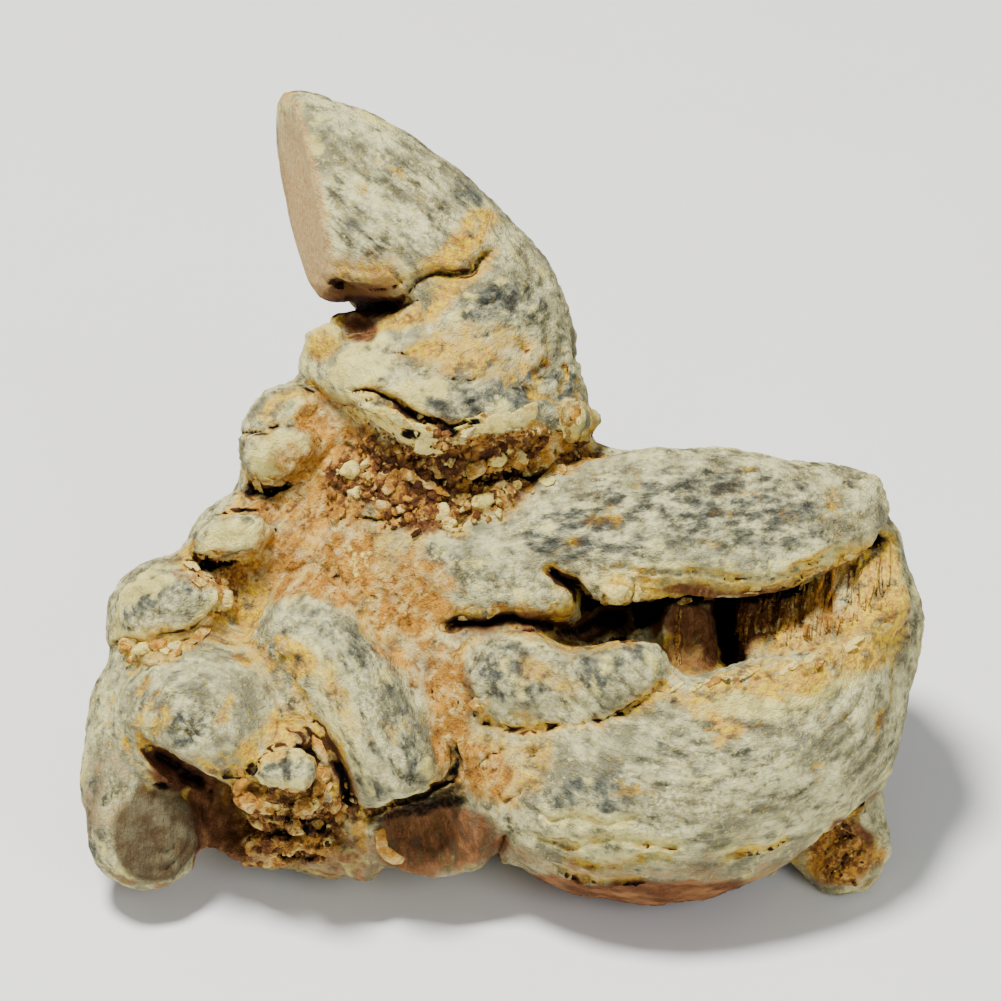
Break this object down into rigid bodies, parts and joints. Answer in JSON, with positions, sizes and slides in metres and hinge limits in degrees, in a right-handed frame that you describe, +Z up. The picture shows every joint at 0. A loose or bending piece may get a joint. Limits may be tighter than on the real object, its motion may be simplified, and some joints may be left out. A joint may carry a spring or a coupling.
{
  "type": "notoginseng root",
  "caption": "Dried notoginseng root, whole: knobbly body, bent neck cut flat where the stem was, curled split lobe under a blade-like flap, short cut rootlets.",
  "frame": {"origin": "under the middle of the root's bounding box, on the surface that the root rests on", "axes": "+Z up, +X to the right across the broad face with the split lobe on the +X side, -Y towards the side that the broad face looks to"},
  "size_m": [0.0536, 0.038, 0.0433],
  "materials": {
    "root_bark": "dry wrinkled bark, matt, grey-beige with ochre-orange creases"
  },
  "bodies": {
    "root": {"notoginseng_root": "root_bark"}
  },
  "joints": []
}
